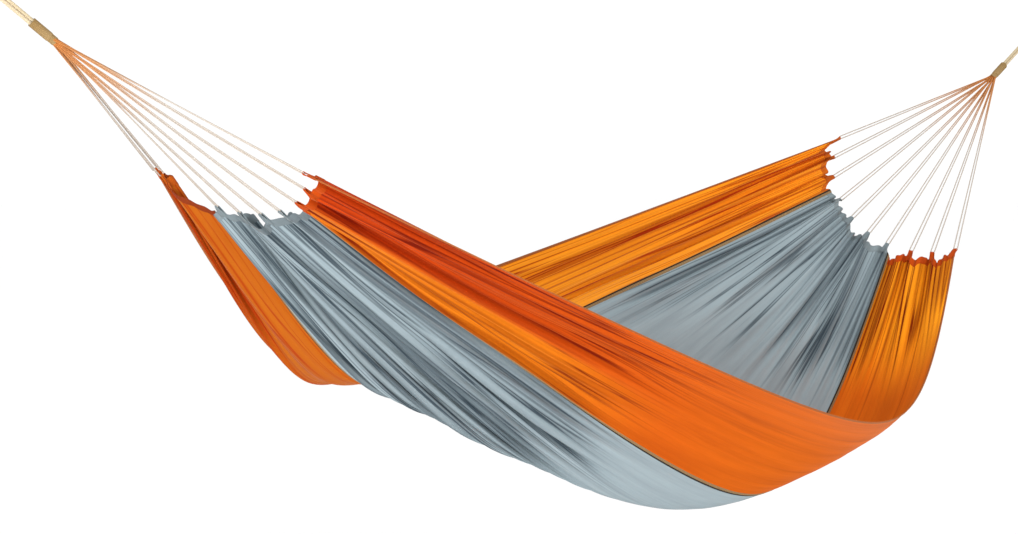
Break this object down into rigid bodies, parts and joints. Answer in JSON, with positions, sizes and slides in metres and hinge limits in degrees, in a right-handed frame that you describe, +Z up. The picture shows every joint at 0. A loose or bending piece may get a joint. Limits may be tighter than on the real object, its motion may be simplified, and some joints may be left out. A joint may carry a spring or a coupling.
{
  "type": "camping hammock",
  "caption": "Travel hammock of three cloth panels, hung from rope eyes by fans of cords, held in the shape it takes with somebody lying across it.",
  "frame": {"origin": "the inside of the left hanging eye's saddle, where a hook bears", "axes": "+X from the left hanging eye to the right one, which is level with it; +Y to the far side of the bed; +Z up"},
  "size_m": [2.8489, 0.8294, 1.1374],
  "materials": {
    "cloth_orange": "satin",
    "cloth_grey": "satin",
    "hem_trim": "satin",
    "seam_trim": "satin",
    "end_trim": "satin",
    "ear_tape": "matte",
    "cord": "matte",
    "binding": "matte",
    "rope": "matte"
  },
  "bodies": {
    "hangers": {"eye_left": "rope", "whipping_left": "binding", "eye_right": "rope", "whipping_right": "binding"},
    "bed": {"panel_far": "cloth_orange", "panel_middle": "cloth_grey", "panel_near": "cloth_orange", "hem_far": "hem_trim", "hem_near": "hem_trim", "seam_far": "seam_trim", "seam_near": "seam_trim", "end_hem_left": "end_trim", "end_hem_right": "end_trim", "ears_left": "ear_tape", "ears_right": "ear_tape", "cord_left_01": "cord", "cord_left_02": "cord", "cord_left_03": "cord", "cord_left_04": "cord", "cord_left_05": "cord", "cord_left_06": "cord", "cord_left_07": "cord", "cord_left_08": "cord", "cord_left_09": "cord", "cord_left_10": "cord", "cord_right_01": "cord", "cord_right_02": "cord", "cord_right_03": "cord", "cord_right_04": "cord", "cord_right_05": "cord", "cord_right_06": "cord", "cord_right_07": "cord", "cord_right_08": "cord", "cord_right_09": "cord", "cord_right_10": "cord"}
  },
  "joints": [
    {"name": "swing", "type": "hinge", "parent": "hangers", "child": "bed", "pos_m": [0.16942, 0, -0.13237], "axis": [1, 0, 0], "range_deg": [-30, 30]}
  ]
}
